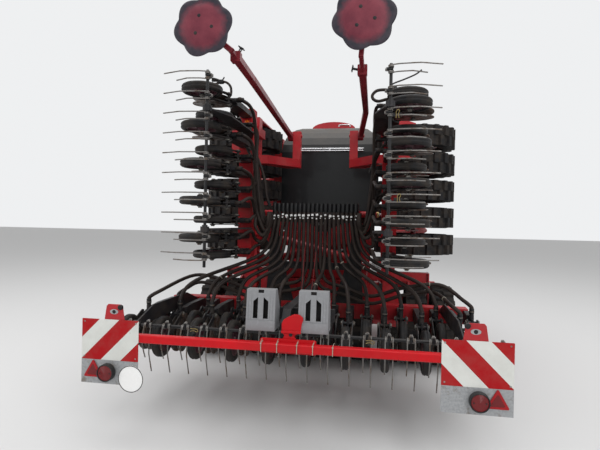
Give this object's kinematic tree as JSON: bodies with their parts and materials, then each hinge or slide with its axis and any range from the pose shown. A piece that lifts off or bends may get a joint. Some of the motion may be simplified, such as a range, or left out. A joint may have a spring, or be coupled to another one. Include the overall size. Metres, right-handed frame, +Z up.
{
  "type": "folded trailed seed drill",
  "caption": "Trailed disc seed drill with its wings folded up for the road, standing on its packer tyres and parking stand.",
  "frame": {"origin": "on the ground, at the middle of the machine's width and of its length", "axes": "+Y forward to the tractor, +X to the machine's right, +Z up"},
  "size_m": [3.0193, 8.392, 2.9803],
  "materials": {
    "red_paint": "semi-gloss paint, worn and dusty",
    "bright_red_paint": "gloss paint",
    "hopper_black": "gloss black moulded plastic",
    "dark_steel": "black paint",
    "bare_steel": "worn bright steel",
    "zinc": "yellow zinc plating",
    "cylinder_chrome": "polished rod",
    "tyre_rubber": "matt rubber",
    "press_rubber": "smooth rubber, damp",
    "hose_rubber": "ribbed hose",
    "panel_stripes": "red and white reflective stripes",
    "plate_grey": "dull sheet",
    "lamp_red": "clear red lens",
    "sign_white": "white, thin dark rim, blank",
    "chock_grey": "light grey plastic"
  },
  "bodies": {
    "frame": {"main_frame": "red_paint", "drawbar": "red_paint", "packer_frame": "red_paint", "hopper": "hopper_black", "fan": "dark_steel", "distributor": "dark_steel", "hoses": "hose_rubber", "tillage_centre": "red_paint", "seed_bar_centre": "red_paint", "seed_discs_centre": "bare_steel", "harrow_centre": "bare_steel", "light_bar": "bright_red_paint", "warning_panels": "panel_stripes", "lamp_plates": "plate_grey", "lamps": "lamp_red", "speed_disc": "sign_white", "wheel_chocks": "chock_grey"},
    "hitch": {"hitch_cross": "dark_steel"},
    "stand": {"parking_stand": "dark_steel"},
    "lid": {"hopper_lid": "red_paint"},
    "packer_centre_left": {"tyres_centre_left": "tyre_rubber", "rims_centre_left": "red_paint"},
    "packer_centre_right": {"tyres_centre_right": "tyre_rubber", "rims_centre_right": "red_paint"},
    "packer_wing_left": {"tyres_wing_left": "tyre_rubber", "rims_wing_left": "red_paint"},
    "packer_wing_right": {"tyres_wing_right": "tyre_rubber", "rims_wing_right": "red_paint"},
    "press_centre_rear": {"press_rear_centre": "press_rubber"},
    "press_centre_front": {"press_front_centre": "press_rubber"},
    "press_left_rear": {"press_rear_left": "press_rubber"},
    "press_left_front": {"press_front_left": "press_rubber"},
    "press_right_rear": {"press_rear_right": "press_rubber"},
    "press_right_front": {"press_front_right": "press_rubber"},
    "wing_left": {"wing_frame_left": "red_paint", "seed_bar_left": "red_paint", "seed_discs_left": "bare_steel", "harrow_left": "bare_steel", "tillage_left": "red_paint"},
    "wing_right": {"wing_frame_right": "red_paint", "seed_bar_right": "red_paint", "seed_discs_right": "bare_steel", "harrow_right": "bare_steel", "tillage_right": "red_paint"},
    "barrel_left": {"fold_barrel_left": "red_paint"},
    "barrel_right": {"fold_barrel_right": "red_paint"},
    "rod_left": {"fold_rod_left": "cylinder_chrome"},
    "rod_right": {"fold_rod_right": "cylinder_chrome"},
    "marker_left": {"marker_arm_left": "red_paint"},
    "marker_right": {"marker_arm_right": "red_paint"},
    "marker_wheel_left": {"marker_disc_left": "dark_steel"},
    "marker_wheel_right": {"marker_disc_right": "dark_steel"}
  },
  "joints": [
    {"name": "hitch_swivel", "type": "hinge", "parent": "frame", "child": "hitch", "pos_m": [0, 3.976, 0.63], "axis": [0, 0, 1], "range_deg": [-50, 50]},
    {"name": "stand_swing", "type": "hinge", "parent": "frame", "child": "stand", "pos_m": [0, 2.576, 0.8], "axis": [1, 0, 0], "range_deg": [0, 90]},
    {"name": "lid_hinge", "type": "hinge", "parent": "frame", "child": "lid", "pos_m": [-0.35, 0.196, 2.892], "axis": [0, -1, 0], "range_deg": [0, 100]},
    {"name": "packer_centre_left_turn", "type": "hinge", "parent": "frame", "child": "packer_centre_left", "pos_m": [-0.75, -1.324, 0.45], "axis": [1, 0, 0], "continuous": true},
    {"name": "packer_centre_right_turn", "type": "hinge", "parent": "frame", "child": "packer_centre_right", "pos_m": [0.75, -1.324, 0.45], "axis": [1, 0, 0], "continuous": true},
    {"name": "press_centre_rear_turn", "type": "hinge", "parent": "frame", "child": "press_centre_rear", "pos_m": [0, -3.304, 0.647], "axis": [1, 0, 0], "continuous": true},
    {"name": "press_centre_front_turn", "type": "hinge", "parent": "frame", "child": "press_centre_front", "pos_m": [0, -3.004, 0.647], "axis": [1, 0, 0], "continuous": true},
    {"name": "wing_left_fold", "type": "hinge", "parent": "frame", "child": "wing_left", "pos_m": [-0.865, -1.324, 0.605], "axis": [0, -1, 0], "range_deg": [0, 90]},
    {"name": "wing_right_fold", "type": "hinge", "parent": "frame", "child": "wing_right", "pos_m": [0.865, -1.324, 0.605], "axis": [0, 1, 0], "range_deg": [0, 90]},
    {"name": "packer_wing_left_turn", "type": "hinge", "parent": "wing_left", "child": "packer_wing_left", "pos_m": [-1.02, -1.324, 1.99], "axis": [0, 0, 1], "continuous": true},
    {"name": "press_left_rear_turn", "type": "hinge", "parent": "wing_left", "child": "press_left_rear", "pos_m": [-0.823, -3.304, 1.99], "axis": [0, 0, 1], "continuous": true},
    {"name": "press_left_front_turn", "type": "hinge", "parent": "wing_left", "child": "press_left_front", "pos_m": [-0.823, -3.004, 1.99], "axis": [0, 0, 1], "continuous": true},
    {"name": "marker_left_swing", "type": "hinge", "parent": "wing_left", "child": "marker_left", "pos_m": [-0.4, -1.624, 2.6], "axis": [-1, 0, 0], "range_deg": [0, 90]},
    {"name": "packer_wing_right_turn", "type": "hinge", "parent": "wing_right", "child": "packer_wing_right", "pos_m": [1.02, -1.324, 1.99], "axis": [0, 0, 1], "continuous": true},
    {"name": "press_right_rear_turn", "type": "hinge", "parent": "wing_right", "child": "press_right_rear", "pos_m": [0.823, -3.304, 1.99], "axis": [0, 0, 1], "continuous": true},
    {"name": "press_right_front_turn", "type": "hinge", "parent": "wing_right", "child": "press_right_front", "pos_m": [0.823, -3.004, 1.99], "axis": [0, 0, 1], "continuous": true},
    {"name": "marker_right_swing", "type": "hinge", "parent": "wing_right", "child": "marker_right", "pos_m": [0.4, -1.624, 2.6], "axis": [-1, 0, 0], "range_deg": [0, 90]},
    {"name": "marker_left_disc_turn", "type": "hinge", "parent": "marker_left", "child": "marker_wheel_left", "pos_m": [-0.48, -4.112, 2.79], "axis": [0, 1, 0], "continuous": true},
    {"name": "marker_right_disc_turn", "type": "hinge", "parent": "marker_right", "child": "marker_wheel_right", "pos_m": [0.495, -4.112, 2.79], "axis": [0, 1, 0], "continuous": true},
    {"name": "barrel_left_pivot", "type": "hinge", "parent": "frame", "child": "barrel_left", "pos_m": [0.5, -1.8537, 1.45], "axis": [0, -1, 0], "range_deg": [0, 2.45]},
    {"name": "rod_left_slide", "type": "slide", "parent": "barrel_left", "child": "rod_left", "axis": [-0.9691, 0, -0.2467], "range_m": [0, 0.88069]},
    {"name": "barrel_right_pivot", "type": "hinge", "parent": "frame", "child": "barrel_right", "pos_m": [-0.5, -2.0943, 1.45], "axis": [0, 1, 0], "range_deg": [0, 2.45]},
    {"name": "rod_right_slide", "type": "slide", "parent": "barrel_right", "child": "rod_right", "axis": [0.9691, 0, -0.2467], "range_m": [0, 0.88069]}
  ],
  "couplings": [
    {"joint": "barrel_left_pivot", "follows": "wing_left_fold", "ratio": 0.027171},
    {"joint": "rod_left_slide", "follows": "wing_left_fold", "m_per_rad": 0.56035},
    {"joint": "barrel_right_pivot", "follows": "wing_right_fold", "ratio": 0.027171},
    {"joint": "rod_right_slide", "follows": "wing_right_fold", "m_per_rad": 0.56035}
  ]
}
